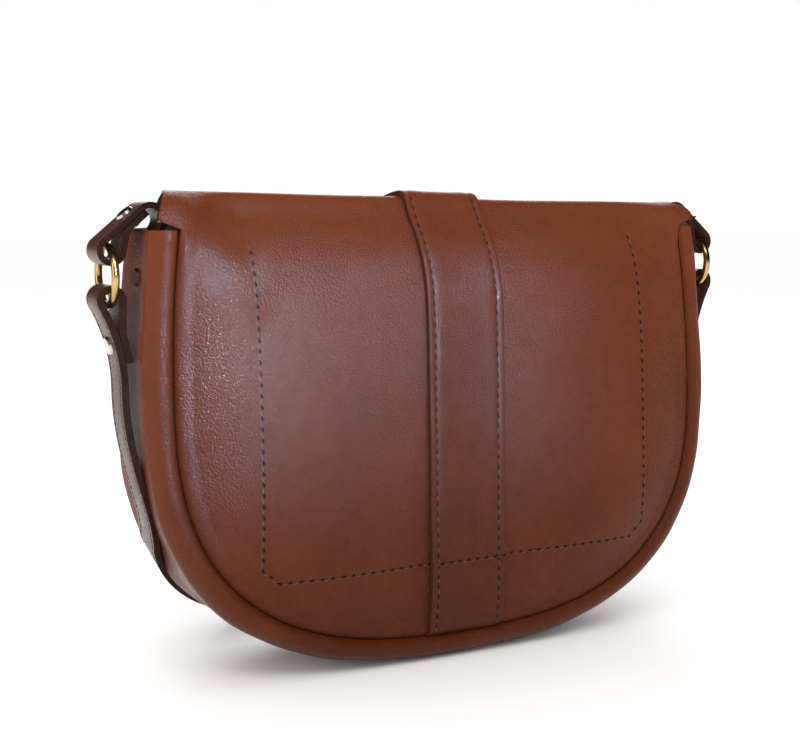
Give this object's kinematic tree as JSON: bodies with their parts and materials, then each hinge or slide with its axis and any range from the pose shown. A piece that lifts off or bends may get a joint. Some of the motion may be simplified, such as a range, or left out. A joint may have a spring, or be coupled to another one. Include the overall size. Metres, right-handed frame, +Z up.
{
  "type": "saddle handbag",
  "caption": "D-shaped leather saddle handbag with a wrap-over flap, centre band, side rings and an adjustable shoulder strap laid behind it.",
  "frame": {"origin": "centre of the flat strip on the gusset that the bag rests on", "axes": "+X along the bag's width, +Y towards the side the flap closes on, +Z up; the pictured back faces -Y"},
  "size_m": [0.2708, 0.1655, 0.185],
  "materials": {
    "leather_body": "smooth satin, fine grain",
    "leather_band": "smooth satin",
    "leather_strap": "smooth satin with raw dark edges",
    "leather_pocket": "unfinished suede",
    "thread": "waxed thread",
    "brass": "polished",
    "nickel": "polished"
  },
  "bodies": {
    "bag": {"back_panel": "leather_body", "front_panel": "leather_body", "gusset": "leather_body", "seam_thread_back": "thread", "seam_thread_front": "thread", "pocket_stitching": "thread", "band_back_stitching": "thread", "laid_stitching": "thread", "inner_pocket": "leather_pocket", "band_back": "leather_band", "tab_left": "leather_strap", "tab_right": "leather_strap", "strap_long": "leather_strap", "strap_short": "leather_strap", "buckle_frame": "brass", "snap_socket": "nickel", "snap_washer": "nickel", "tab_rivets": "nickel", "anchor_rivets": "nickel", "buckle_rivet": "nickel"},
    "flap": {"flap": "leather_body", "band_flap": "leather_band", "band_flap_stitching": "thread", "snap_stud": "nickel"},
    "hanger_left": {"ring_left": "brass", "strap_end_left": "leather_strap", "end_rivet_left": "nickel", "end_stitching_left": "thread"},
    "hanger_right": {"ring_right": "brass", "strap_end_right": "leather_strap", "end_rivet_right": "nickel", "end_stitching_right": "thread"},
    "prong": {"buckle_prong": "brass"},
    "keeper": {"keeper": "leather_strap"}
  },
  "joints": [
    {"name": "flap_hinge", "type": "hinge", "parent": "bag", "child": "flap", "pos_m": [0, -0.0222, 0.1684], "axis": [1, 0, 0], "range_deg": [0, 150]},
    {"name": "ring_left_swing", "type": "hinge", "parent": "bag", "child": "hanger_left", "pos_m": [-0.12972, 0, 0.15868], "axis": [0, 1, 0], "range_deg": [0, 25]},
    {"name": "ring_right_swing", "type": "hinge", "parent": "bag", "child": "hanger_right", "pos_m": [0.12972, 0, 0.15868], "axis": [0, -1, 0], "range_deg": [0, 25]},
    {"name": "prong_hinge", "type": "hinge", "parent": "bag", "child": "prong", "pos_m": [0.03, 0.1251, 0.011], "axis": [0, 0, -1], "range_deg": [0, 4]},
    {"name": "keeper_slide", "type": "slide", "parent": "bag", "child": "keeper", "axis": [1, 0, 0], "range_m": [-0.0015, 0.014]}
  ]
}
